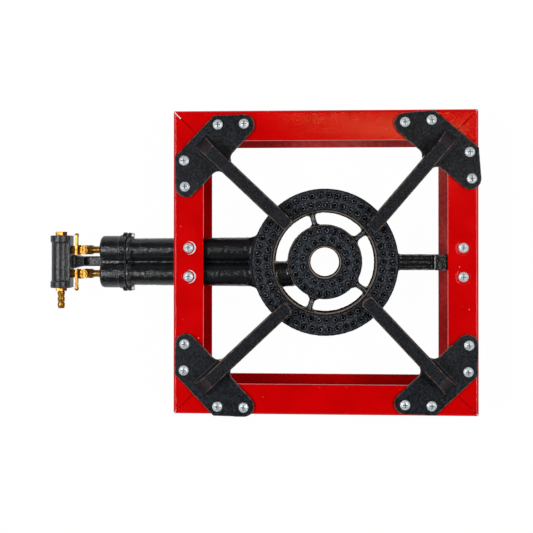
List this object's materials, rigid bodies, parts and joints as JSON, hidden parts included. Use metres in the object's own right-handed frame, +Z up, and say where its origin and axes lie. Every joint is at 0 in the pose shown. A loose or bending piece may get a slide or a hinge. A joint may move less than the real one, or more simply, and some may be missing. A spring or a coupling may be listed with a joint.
{
  "type": "two-burner outdoor gas stove",
  "caption": "Low outdoor gas stove: square sheet-metal frame, corner pan supports, cast burner with a ring inside a ring, feed tubes, mixing mouthpiece, manifold and lever taps.",
  "frame": {"origin": "on the floor, under the middle of the whole stove with its manifold", "axes": "+X runs along the feed tubes from the manifold towards the burner, +Y towards the rear rail, +Z up"},
  "size_m": [0.5741, 0.4024, 0.122],
  "materials": {
    "red_paint": "gloss",
    "black_enamel": "satin black enamel",
    "zinc_steel": "zinc plated",
    "cast_iron": "rough as cast",
    "brass": "machined"
  },
  "bodies": {
    "stove": {"frame_rail_front": "red_paint", "frame_rail_right": "red_paint", "frame_rail_rear": "red_paint", "frame_rail_left": "red_paint", "corner_welds": "red_paint", "pan_support_front_left": "black_enamel", "pan_support_front_right": "black_enamel", "pan_support_rear_right": "black_enamel", "pan_support_rear_left": "black_enamel", "pan_support_screws": "zinc_steel", "pan_support_washers": "zinc_steel", "pan_support_nuts": "zinc_steel", "burner_screws": "zinc_steel", "mouthpiece_screws": "zinc_steel", "manifold_screw": "zinc_steel", "burner_casting": "cast_iron", "mouthpiece": "cast_iron", "manifold": "cast_iron", "manifold_plug": "brass", "hose_nozzle": "brass", "outer_tap_body": "brass", "outer_injector": "brass", "centre_tap_body": "brass", "centre_injector": "brass"},
    "outer_tap": {"outer_tap_plug": "brass", "outer_tap_lever": "brass", "outer_tap_lever_screw": "brass", "outer_tap_disc_spring": "brass", "outer_tap_plug_nut": "brass"},
    "centre_tap": {"centre_tap_plug": "brass", "centre_tap_lever": "brass", "centre_tap_lever_screw": "brass", "centre_tap_disc_spring": "brass", "centre_tap_plug_nut": "brass"}
  },
  "joints": [
    {"name": "outer_tap_turn", "type": "hinge", "parent": "stove", "child": "outer_tap", "pos_m": [-0.2385, 0.016, 0.066], "axis": [0, 0, -1], "range_deg": [0, 90]},
    {"name": "centre_tap_turn", "type": "hinge", "parent": "stove", "child": "centre_tap", "pos_m": [-0.2385, -0.016, 0.066], "axis": [0, 0, 1], "range_deg": [0, 90]}
  ]
}
